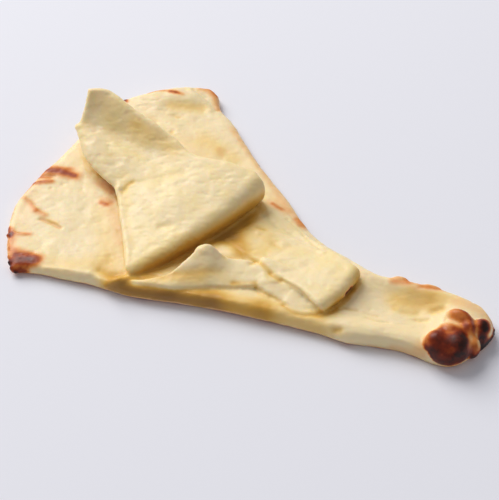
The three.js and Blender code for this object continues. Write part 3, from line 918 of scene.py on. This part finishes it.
@dataclass(frozen=True)
class BakedDough:
    """Baked wheat dough, brushed with butter: a pale, slightly translucent crust.

    The oven's dry heat browns it through peach and orange to red-brown and black. Butter makes
    parts of it glossy, and steam leaves fine pores and low lumps.
    """

    pale: str = "#f3e0b8"
    buttery: str = "#f3dda6"
    # golden, amber and umber: painted shade, from light to deep, that the shade attribute lays on
    # the dough
    golden_shade: str = "#eec768"
    amber_shade: str = "#d3a144"
    umber_shade: str = "#9c7036"
    peach: str = "#f0c58e"
    orange: str = "#dc8a42"
    red_brown: str = "#a34512"
    dark_red: str = "#702003"
    dark: str = "#350d02"
    char: str = "#0f0705"
    cover: tuple[float, float] = (0.02, 0.24)  # browning at which it hides the dough's colour
    butter_mm: float = 14.0  # size of the buttery blotches
    butter: tuple[float, float] = (0.35, 1.0)  # least and most butter in them
    butter_noise: tuple[float, float] = (0.38, 0.66)  # noise from the least to the most
    mottle_mm: float = 3.2  # size of the small bubbles that the browning follows
    mottle: tuple[float, float] = (0.93, 1.07)
    mottle_noise: tuple[float, float] = (0.3, 0.7)
    # shade at which the painted shade hides the dough's colour
    shade_cover: tuple[float, float] = (0.0, 0.75)
    gloss_mm: float = 9.0
    gloss_noise: tuple[float, float] = (0.35, 0.7)
    roughness: tuple[float, float] = (0.3, 0.56)
    ior: float = 1.45
    specular: float = 0.34
    scatter_mm: float = 2.6
    scatter: float = 0.4
    scatter_rgb: tuple[float, float, float] = (1.0, 0.6, 0.25)
    grain_mm: float = 2.6
    grain_height_mm: float = 0.22
    grain_strength: float = 0.6

    def material(self) -> bpy.types.Material:
        """Makes the material.

        Returns:
            The material, which reads the skin's attributes "bake", "butter" and "shade".
        """
        material, tree = new_material("baked_buttered_dough")
        place = add_node(tree, "TexCoord").outputs["Object"]
        bake = self.browning(tree, place)
        dough = self.dough_colour(tree, place)
        browned = add_node(
            tree, "ValToRGB", inputs={"Fac": bake}, stops=(
                (0.0, self.peach), (0.22, self.peach), (0.42, self.orange), (0.6, self.red_brown),
                (0.74, self.dark_red), (0.88, self.dark), (1.0, self.char),
            ),
        )
        cover = add_node(
            tree, "MapRange", {"interpolation_type": "SMOOTHSTEP"},
            {"Value": bake, "From Min": self.cover[0], "From Max": self.cover[1]},
        )
        colour = add_node(
            tree, "Mix", {"data_type": "RGBA"},
            {"Factor": cover.outputs[0], 6: dough, 7: browned.outputs[0]},
        )
        gloss = add_node(
            tree, "TexNoise",
            inputs={"Vector": place, "Scale": 1 / (self.gloss_mm * MM), "Detail": 2.0},
        )
        roughness = add_node(
            tree, "MapRange", inputs={
                "Value": gloss.outputs["Fac"],
                "From Min": self.gloss_noise[0], "From Max": self.gloss_noise[1],
                "To Min": self.roughness[0], "To Max": self.roughness[1],
            },
        )
        shader = add_node(
            tree, "BsdfPrincipled", inputs={
                "Base Color": colour.outputs[2],
                "Roughness": roughness.outputs[0],
                "IOR": self.ior,
                "Specular IOR Level": self.specular,
                "Subsurface Weight": self.scatter,
                "Subsurface Radius": self.scatter_rgb,
                "Subsurface Scale": self.scatter_mm * MM,
                "Normal": self.relief(tree, place),
            },
        )
        add_node(tree, "OutputMaterial", inputs={"Surface": shader.outputs[0]})
        return material

    def browning(
        self, tree: bpy.types.NodeTree, place: bpy.types.NodeSocket
    ) -> bpy.types.NodeSocket:
        """Breaks up the skin's browning with mottling at the scale of small bubbles.

        Args:
            tree: The material's node tree.
            place: Object coordinates.

        Returns:
            The browning, from 0 to 1.
        """
        bake = add_node(tree, "Attribute", {"attribute_name": "bake"}).outputs["Fac"]
        bubbles = add_node(
            tree, "TexNoise", inputs={
                "Vector": place, "Scale": 1 / (self.mottle_mm * MM),
                "Detail": 3.0, "Roughness": 0.6,
            },
        )
        swing = add_node(
            tree, "MapRange", inputs={
                "Value": bubbles.outputs["Fac"],
                "From Min": self.mottle_noise[0], "From Max": self.mottle_noise[1],
                "To Min": self.mottle[0], "To Max": self.mottle[1],
            },
        )
        mottled = add_node(
            tree, "Math", {"operation": "MULTIPLY", "use_clamp": True},
            {0: bake, 1: swing.outputs[0]},
        )
        return mottled.outputs[0]

    def dough_colour(
        self, tree: bpy.types.NodeTree, place: bpy.types.NodeSocket
    ) -> bpy.types.NodeSocket:
        """Colours the unbrowned dough: pale, buttery in blotches, and golden to umber painted shade
        in creases, pores, folds and under overhangs.

        Args:
            tree: The material's node tree.
            place: Object coordinates.

        Returns:
            The dough's colour.
        """
        butter = add_node(tree, "Attribute", {"attribute_name": "butter"}).outputs["Fac"]
        shade = add_node(tree, "Attribute", {"attribute_name": "shade"}).outputs["Fac"]
        blotch = add_node(
            tree, "TexNoise",
            inputs={"Vector": place, "Scale": 1 / (self.butter_mm * MM), "Detail": 3.0},
        )
        patchy = add_node(
            tree, "MapRange", {"interpolation_type": "SMOOTHSTEP"},
            {
                "Value": blotch.outputs["Fac"],
                "From Min": self.butter_noise[0], "From Max": self.butter_noise[1],
                "To Min": self.butter[0], "To Max": self.butter[1],
            },
        )
        spread = add_node(
            tree, "Math", {"operation": "MULTIPLY"}, {0: butter, 1: patchy.outputs[0]}
        )
        base = add_node(
            tree, "Mix", {"data_type": "RGBA"},
            {"Factor": spread.outputs[0], 6: linear(self.pale), 7: linear(self.buttery)},
        )
        painted_shade = add_node(
            tree, "ValToRGB", inputs={"Fac": shade},
            stops=((0.35, self.golden_shade), (0.72, self.amber_shade), (1.0, self.umber_shade)),
        )
        cover = add_node(
            tree, "MapRange", {"interpolation_type": "SMOOTHSTEP"},
            {"Value": shade, "From Min": self.shade_cover[0], "From Max": self.shade_cover[1]},
        )
        dough = add_node(
            tree, "Mix", {"data_type": "RGBA"},
            {"Factor": cover.outputs[0], 6: base.outputs[2], 7: painted_shade.outputs[0]},
        )
        return dough.outputs[2]

    def relief(
        self, tree: bpy.types.NodeTree, place: bpy.types.NodeSocket
    ) -> bpy.types.NodeSocket:
        """Adds the grain and pores that are too fine for the mesh.

        Args:
            tree: The material's node tree.
            place: Object coordinates.

        Returns:
            The bent normal.
        """
        grain = add_node(
            tree, "TexNoise",
            inputs={"Vector": place, "Scale": 1 / (self.grain_mm * MM), "Detail": 3.0},
        )
        bent = add_node(
            tree, "Bump", inputs={
                "Height": grain.outputs["Fac"],
                "Distance": self.grain_height_mm * MM, "Strength": self.grain_strength,
            },
        )
        return bent.outputs[0]


@dataclass(frozen=True)
class PalePaper:
    """Matt white paper, as a studio floor: even, with no gloss to show."""

    colour: str = "#e9eaf3"
    roughness: float = 0.9

    def material(self) -> bpy.types.Material:
        """Makes the material.

        Returns:
            The material.
        """
        material, tree = new_material("pale_matt_paper")
        inputs = {"Base Color": linear(self.colour), "Roughness": self.roughness}
        shader = add_node(tree, "BsdfPrincipled", inputs=inputs)
        add_node(tree, "OutputMaterial", inputs={"Surface": shader.outputs[0]})
        return material


# ------------------------------------------------------------------------ the bread


@dataclass(frozen=True)
class Dents:
    """Long, shallow dents where the dough was stretched."""

    parts: tuple[Part, ...]
    depth: float  # millimetres, on those parts
    other_depth: float  # millimetres, on the other parts
    grain_mm: float
    seed: float
    band: tuple[float, float]  # noise at which a dent starts and is deepest

    def depths(self, places: np.ndarray, parts: np.ndarray) -> np.ndarray:
        """Measures how deep the dents are.

        Args:
            places: Places on the bread, squeezed along the dough's stretch.
            parts: The part's number for each place.

        Returns:
            One depth for each place, in millimetres.
        """
        chosen = np.isin(parts, [part.value for part in self.parts])
        depth = np.where(chosen, self.depth, self.other_depth)
        return depth * smooth_step(*self.band, noise_at(places, self.grain_mm, self.seed))


@dataclass
class Naan:
    """The folded bread: plies and blisters fused under one skin, with relief, browning and painted
    shade.
    """

    bottom: BottomPly = BottomPly()
    flap: FoldedPly = FoldedPly(
        front=(
            (-149, 6, 23.5), (-141, -1, 21), (-130, -9, 18.5), (-109, -15, 15.5),
            (-99, -17, 14.5), (-81, -34, 12.5), (-63, -52, 11.5), (-49, -68, 12),
        ),
        back=(
            (-155, 27, 45.5), (-144, 35, 43), (-125, 34.5, 38.5), (-105, 34.5, 35),
            (-85, 33.5, 29.5), (-66, 29.5, 26.5), (-44, 35, 28.5), (-22.5, 38.5, 28.5),
        ),
        crest=((-49, -68, 12), (-38, -36, 17), (-28, 4, 22.5), (-22.5, 38.5, 28.5)),
        swells=(Swell(-116, 18, 36, 11, -3, -7), Swell(-55, -12, 30, 18, 72, 3.2)),
        roll_radius=(2.2, 9.3),
        run=(12, 45),
        thickness=(4, 6),
    )
    middle: FoldedPly = FoldedPly(
        front=(
            (-34, -12, 5), (-14, -10, 6), (2, -14, 9.5), (20, -15, 11), (38, -20, 13),
            (55, -22, 15), (68, -26, 16.2),
        ),
        back=(
            (-34, 52, 4), (-14, 46, 4.5), (6, 37, 5), (24, 28, 6.5), (42, 23, 10),
            (57, 19, 14), (71, 14, 16.2),
        ),
        crest=((68, -26, 16.2), (71.5, -6, 16.5), (71, 14, 16.2)),
        swells=(Swell(30, 6, 26, 9, -8, 1.2),),
        roll_radius=(3, 3),
        run=(30, 30),
        thickness=(5.6, 5.6),
    )
    under: OpenPly = OpenPly(
        front=(
            (18, -22, 10), (26, -30, 10), (36, -32, 9.5), (47, -33, 8.5), (58, -33, 8),
            (71, -25, 7.5),
        ),
        back=((18, -10, 13.5), (40, -8, 13.5), (66, -8, 11)),
        thickness=(5, 5),
    )
    lip: OpenPly = OpenPly(
        front=(
            (-43, -75.5, 9.5), (-26.5, -68, 11.5), (-14.5, -63, 12), (4.4, -47.6, 11.2),
            (20, -36.5, 10.8), (38.5, -21.5, 13),
        ),
        back=(
            (-40, -72, 9.5), (-31, -65, 11), (-22, -54, 14), (-18, -41, 19), (-15, -30, 23.5),
            (-11, -27, 23), (-6, -26, 17.5), (0, -24, 13.5), (12, -17, 12), (34, -15, 13),
        ),
        thickness=(2.8, 4.2),
    )
    peak: Blister = Blister(-13, -33, 17.5, 6, 6, 7, 0)
    flap_corner: Blister = Blister(-149, 8, 24.5, 3.4, 3, 3, 0)
    tip: Sequence[Blister] = (
        Blister(148, -2, 9, 14, 13, 11, 20),  # main blister and its three lobes
        Blister(142.5, -6, 12, 8, 8, 9, 30),
        Blister(154, -1, 12, 9, 9, 9.5, 0),
        Blister(147, 5, 13, 10, 6.5, 8, 5),
        Blister(146, 16, 14, 10, 5.5, 8, 10),  # ridge that curls round it
        Blister(154, 12, 12.5, 8, 5, 8.5, -40),
        Blister(161.5, 7, 8, 6, 4.5, 8.5, -60),
        Blister(159.5, 19.5, 9.5, 6.5, 8.5, 9, -20),  # second blister
    )
    back_rim: Sequence[Blister] = (
        Blister(98, 26.5, 7, 7, 4, 5.5, 25),
        Blister(116, 31.5, 6.5, 9, 4, 5, 25),
    )
    marks: Sequence[Mark] = (
        *WIDE_END_MARKS, *BACK_CORNER_MARKS, *FLAP_MARKS, *MIDDLE_MARKS, *LIP_MARKS,
        *TIP_PART_MARKS, *TIP_MARKS,
    )
    finish: BakedDough = BakedDough()
    relax_share: float = 0.5  # how far a round of smoothing moves a point or value
    relax_rounds: int = 3
    tip_rounds: int = 8
    tip_foot_mm: float = 1  # height below which the tip keeps its outline
    # lumps: height and grain in millimetres, and the noise's seed
    lumps: Sequence[Sequence[float]] = ((0.7, 26, 3.1), (0.32, 9, 7.7), (0.12, 3.6, 11.3))
    dents: Sequence[Dents] = (
        Dents((Part.FLAP, Part.MIDDLE), 0.22, 0.12, 5.0, 2.9, (0.1, 0.6)),
        Dents((Part.TIP,), 0.05, 0.17, 2.3, 15.1, (0.12, 0.5)),
    )
    stretch_turn: float = -35  # degrees
    stretch: tuple[float, float, float] = (0.42, 1.0, 0.8)
    free_band: tuple[float, float] = (0.3, 3.0)  # heights over which the relief sets in
    fray: float = 0.34  # share of its width by which a browned mark's edge wanders
    fray_noise: tuple[float, float, int] = (4.2, 21.7, 2)  # grain in mm, seed and octaves
    underside_bake: float = 0.42
    underside_swing: float = 0.25
    underside_noise: tuple[float, float, int] = (11, 5.2, 3)
    facing_down: tuple[float, float] = (0.2, -0.9)  # normal's z where the underside sets in
    near_ground: tuple[float, float] = (9, 2)  # height in mm where the underside sets in
    butter: tuple[float, float] = (1.0, 0.5)  # on the folds and on the rest
    # painted shade where the bread's own folds close off the dough, and the blocked share over
    # which it sets in
    occlusion_shade: float = 0.8
    tucked_band: tuple[float, float] = (0.15, 0.9)
    bake_rounds: int = 2
    shade_and_damp_rounds: int = 5
    labelled: dict[Part, list[Vector]] = field(default_factory=dict)

    def build(self) -> bpy.types.Object:
        """Returns:
            The finished piece.
        """
        piece = self.fused()
        parts = self.parts_of(piece)
        self.soften_tip(piece, parts)
        self.raise_relief(piece, parts)
        self.paint(piece, parts)
        self.to_frame(piece)
        piece.data.materials.append(self.finish.material())
        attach(piece, "root")
        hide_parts("naan")
        return piece

    def fused(self) -> bpy.types.Object:
        """Fuses the plies and blisters under one skin.

        Returns:
            The bread in millimetres, with smooth shading.
        """
        loose = bmesh.new()
        solids = (
            (Part.BOTTOM, self.bottom), (Part.FLAP, self.flap), (Part.MIDDLE, self.middle),
            (Part.UNDER, self.under), (Part.LIP, self.lip),
            (Part.LIP, self.peak), (Part.FLAP, self.flap_corner),
            *((Part.TIP, blister) for blister in self.tip),
            *((Part.BOTTOM, blister) for blister in self.back_rim),
        )
        for part, solid in solids:
            one = solid.build()
            self.labelled.setdefault(part, []).extend(vert.co.copy() for vert in one.verts)
            mesh = bpy.data.meshes.new("ply")
            one.to_mesh(mesh)
            one.free()
            loose.from_mesh(mesh)
            bpy.data.meshes.remove(mesh)
        mesh = bpy.data.meshes.new("naan_bread")
        loose.to_mesh(mesh)
        loose.free()
        piece = bpy.data.objects.new("naan_bread", mesh)
        bpy.context.scene.collection.objects.link(piece)
        remesh = piece.modifiers.new("skin", "REMESH")
        remesh.mode = "VOXEL"
        remesh.voxel_size = SKIN_VOXEL_MM
        relax = piece.modifiers.new("relax", "SMOOTH")
        relax.factor, relax.iterations = self.relax_share, self.relax_rounds
        self.apply_modifiers(piece)
        flat = piece.vertex_groups.new(name="underside")
        flat.add([vert.index for vert in piece.data.vertices if vert.co.z < CLOSE_MM], 1.0, "ADD")
        thin = piece.modifiers.new("thin", "DECIMATE")
        thin.ratio, thin.vertex_group = SKIN_KEPT, flat.name
        self.apply_modifiers(piece)
        return piece

    def apply_modifiers(self, piece: bpy.types.Object) -> None:
        """Replaces a piece's mesh by what its modifiers make of it.

        Args:
            piece: The piece, whose modifiers are then removed.
        """
        graph = bpy.context.evaluated_depsgraph_get()
        mesh = bpy.data.meshes.new_from_object(piece.evaluated_get(graph))
        piece.modifiers.clear()
        piece.data = mesh
        mesh.polygons.foreach_set("use_smooth", [True] * len(mesh.polygons))

    def parts_of(self, piece: bpy.types.Object) -> np.ndarray:
        """Finds which part of the bread each point of the skin belongs to.

        Args:
            piece: The bread.

        Returns:
            The part's number for each vertex.
        """
        size = sum(len(points) for points in self.labelled.values())
        tree = kdtree.KDTree(size)
        owner = np.empty(size, int)
        index = 0
        for part, points in self.labelled.items():
            for point in points:
                tree.insert(point, index)
                owner[index] = part.value
                index += 1
        tree.balance()
        return np.array([owner[tree.find(vert.co)[1]] for vert in piece.data.vertices])

    def soften_tip(self, piece: bpy.types.Object, parts: np.ndarray) -> None:
        """Rounds the creases where the tip's blisters have grown into one another.

        Args:
            piece: The bread.
            parts: The part's number for each vertex.
        """
        skin = bmesh.new()
        skin.from_mesh(piece.data)
        tip = Part.TIP.value
        chosen = [v for v in skin.verts if parts[v.index] == tip and v.co.z > self.tip_foot_mm]
        for _ in range(self.tip_rounds):
            bmesh.ops.smooth_vert(
                skin, verts=chosen, factor=self.relax_share,
                use_axis_x=True, use_axis_y=True, use_axis_z=True,
            )
        skin.to_mesh(piece.data)
        skin.free()

    def rows_of(self, mesh: bpy.types.Mesh, name: str) -> np.ndarray:
        """Reads x, y and z of each vertex.

        Args:
            mesh: The mesh.
            name: What is read: "co" or "normal".

        Returns:
            One row for each vertex.
        """
        flat = np.empty(len(mesh.vertices) * 3)
        mesh.vertices.foreach_get(name, flat)
        return flat.reshape(-1, 3)

    def raise_relief(self, piece: bpy.types.Object, parts: np.ndarray) -> None:
        """Raises lumps, creases and pits on the skin.

        Args:
            piece: The bread.
            parts: The part's number for each vertex.
        """
        mesh = piece.data
        places, normals = self.rows_of(mesh, "co"), self.rows_of(mesh, "normal")
        rise = sum(high * noise_at(places, grain, seed) for high, grain, seed in self.lumps)
        for dents in self.dents:
            rise -= dents.depths(self.grained(places), parts)
        rise += risen(self.marks, places, parts)
        rise *= smooth_step(*self.free_band, places[:, 2])
        places += normals * rise[:, None]
        places[:, 2] = np.maximum(places[:, 2], 0)
        mesh.vertices.foreach_set("co", places.ravel())
        mesh.update()

    def grained(self, places: np.ndarray) -> np.ndarray:
        """Squeezes places along the dough's stretch, so that noise there makes long dents."""
        turn = Matrix.Rotation(math.radians(self.stretch_turn), 3, "Z")
        return places @ np.array(turn).T * self.stretch

    def tucked(self, mesh: bpy.types.Mesh) -> np.ndarray:
        """Measures how far folds of the bread close off each point from the air around.

        Args:
            mesh: The bread's mesh, in millimetres.

        Returns:
            The share of directions that bread blocks, from 0 to 1, for each vertex.
        """
        count, reach, lift = 40, 40.0, 0.4  # number of rays, and millimetres
        grazing, lowest = 0.1, -0.5  # rays nearer the skin or steeper down aren't counted
        least = 0.4  # lower limit of what the blocked share is taken of
        turn = math.pi * (3 - math.sqrt(5))
        heights = [1 - (2 * k + 1) / count for k in range(count)]
        rays = [
            Vector((math.sqrt(1 - z * z) * math.cos(turn * k),
                    math.sqrt(1 - z * z) * math.sin(turn * k), z))
            for k, z in enumerate(heights)
        ]
        tree = BVHTree.FromPolygons(
            [vert.co for vert in mesh.vertices], [poly.vertices for poly in mesh.polygons]
        )
        blocked = np.zeros(len(mesh.vertices))
        for index, vert in enumerate(mesh.vertices):
            normal = vert.normal.copy()
            start = vert.co + normal * lift
            total = hit = 0.0
            for ray in rays:
                weight = ray.dot(normal)
                if weight > grazing and ray.z > lowest:
                    total += weight
                    if tree.ray_cast(start, ray, reach)[0] is not None:
                        hit += weight
            blocked[index] = hit / max(total, least)
        return blocked

    def softened(self, mesh: bpy.types.Mesh, values: np.ndarray, rounds: int) -> np.ndarray:
        """Evens out values over neighbouring points of a mesh.

        Args:
            mesh: The mesh.
            values: One value for each vertex.
            rounds: How often each point takes on half of its neighbours' mean.

        Returns:
            The evened values.
        """
        ends = np.empty(len(mesh.edges) * 2, int)
        mesh.edges.foreach_get("vertices", ends)
        first, second = ends.reshape(-1, 2).T
        size = len(mesh.vertices)
        links = np.maximum(np.bincount(ends, minlength=size), 1)
        for _ in range(rounds):
            total = np.bincount(first, values[second], size)
            total += np.bincount(second, values[first], size)
            values = mix(values, total / links, self.relax_share)
        return values

    def paint(self, piece: bpy.types.Object, parts: np.ndarray) -> None:
        """Writes the attributes that the crust's finish reads.

        Args:
            piece: The bread.
            parts: The part's number for each vertex.
        """
        mesh = piece.data
        places, normals = self.rows_of(mesh, "co"), self.rows_of(mesh, "normal")
        wander = self.fray * noise_at(places, *self.fray_noise)
        bake = covered(self.marks, Effect.BAKE, places, parts, wander)
        bake = self.softened(mesh, bake, self.bake_rounds)
        below = smooth_step(*self.facing_down, normals[:, 2])
        below *= smooth_step(*self.near_ground, places[:, 2])
        blotches = noise_at(places, *self.underside_noise)
        underside = self.underside_bake + self.underside_swing * blotches
        bake = np.maximum(bake, below * underside)
        folds = np.isin(parts, (Part.FLAP.value, Part.MIDDLE.value))
        butter = np.where(folds, *self.butter)
        # painted shade: the dough is yellowed and darkened where the bread's own folds close it
        # off, and where the marks lay painted shade and damp
        tucked = self.occlusion_shade * smooth_step(*self.tucked_band, self.tucked(mesh))
        damp = covered(self.marks, Effect.DAMP, places, parts)
        damp = self.softened(mesh, damp, self.shade_and_damp_rounds)
        shade = 1 - (1 - tucked) * (1 - damp)
        for name, values in (("bake", bake), ("butter", butter), ("shade", shade)):
            layer = mesh.attributes.new(name, "FLOAT", "POINT")
            layer.data.foreach_set("value", np.clip(values, 0, 1))

    def to_frame(self, piece: bpy.types.Object) -> None:
        """Turns the mesh from the stations' millimetres into metres in the part's frame.

        Args:
            piece: The bread.
        """
        x, y = FOOTPRINT_CENTRE_MM
        shift = Matrix.Translation((-x * MM, -y * MM, 0))
        piece.data.transform(shift @ Matrix.Scale(MM, 4))
        piece.data.update()


# ------------------------------------------------------------------------ studio


@dataclass(frozen=True)
class Lamp:
    """Softbox: a square light that faces the bread."""

    name: str
    place: tuple[float, float, float]
    size: float
    power: float
    colour: str

    def build(self) -> None:
        """Adds the softbox, turned towards the bread."""
        light = bpy.data.lights.new(self.name, "AREA")
        light.size, light.energy, light.color = self.size, self.power, linear(self.colour)[:3]
        lamp = bpy.data.objects.new(self.name, light)
        lamp.location = self.place
        lamp.rotation_euler = (-Vector(self.place)).to_track_quat("-Z", "Y").to_euler()
        bpy.context.scene.collection.objects.link(lamp)


@dataclass(frozen=True)
class Studio:
    """Pale floor, soft light from behind, and the camera of the photograph."""

    azimuth: float = 35.0
    elevation: float = 48.0
    distance: float = 0.85535
    lens: float = 93.6  # for a 36 mm wide sensor
    floor_size: float = 6.0
    sky: str = "#f4f4f6"
    sky_strength: float = 0.38
    lamps: Sequence[Lamp] = (
        Lamp("window_behind", (-3.1, 0.9, 2.8), 3.0, 189.0, "#fffdfa"),
    )

    def aim(self) -> Vector:
        """Gives the point that the camera looks at, which is the stations' origin."""
        x, y = FOOTPRINT_CENTRE_MM
        return Vector((-x * MM, -y * MM, 0))

    def camera(self) -> None:
        """Sets the camera at the photograph's viewing angle."""
        turn, rise = math.radians(self.azimuth), math.radians(self.elevation)
        back = Vector(
            (math.sin(turn) * math.cos(rise), -math.cos(turn) * math.cos(rise), math.sin(rise))
        )
        data = bpy.data.cameras.new("camera")
        data.lens = self.lens
        view = bpy.data.objects.new("camera", data)
        view.location = self.aim() + back * self.distance
        view.rotation_euler = (-back).to_track_quat("-Z", "Y").to_euler()
        bpy.context.scene.collection.objects.link(view)
        bpy.context.scene.camera = view

    def floor(self) -> None:
        """Lays the floor."""
        ground = bmesh.new()
        bmesh.ops.create_grid(ground, x_segments=1, y_segments=1, size=self.floor_size / 2)
        mesh = bpy.data.meshes.new("floor")
        ground.to_mesh(mesh)
        ground.free()
        mesh.materials.append(PalePaper().material())
        plane = bpy.data.objects.new("floor", mesh)
        bpy.context.scene.collection.objects.link(plane)

    def light(self) -> None:
        """Adds the even sky light and the softboxes."""
        world = bpy.data.worlds.new("studio")
        world.use_nodes = True
        sky = world.node_tree.nodes["Background"]
        sky.inputs["Color"].default_value = linear(self.sky)
        sky.inputs["Strength"].default_value = self.sky_strength
        bpy.context.scene.world = world
        for lamp in self.lamps:
            lamp.build()

    def build(self) -> None:
        """Builds the studio."""
        self.camera()
        self.floor()
        self.light()
        view = bpy.context.scene.view_settings
        view.view_transform, view.look = "Standard", "None"


# ------------------------------------------------------------------------ making


def main() -> None:
    """Builds the studio and the bread."""
    logging.basicConfig(level=logging.INFO, format="%(name)s: %(message)s")
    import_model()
    Studio().build()
    piece = Naan().build()
    LOG.info("%s: %d faces", piece.name, len(piece.data.polygons))


if __name__ == "__main__":
    main()
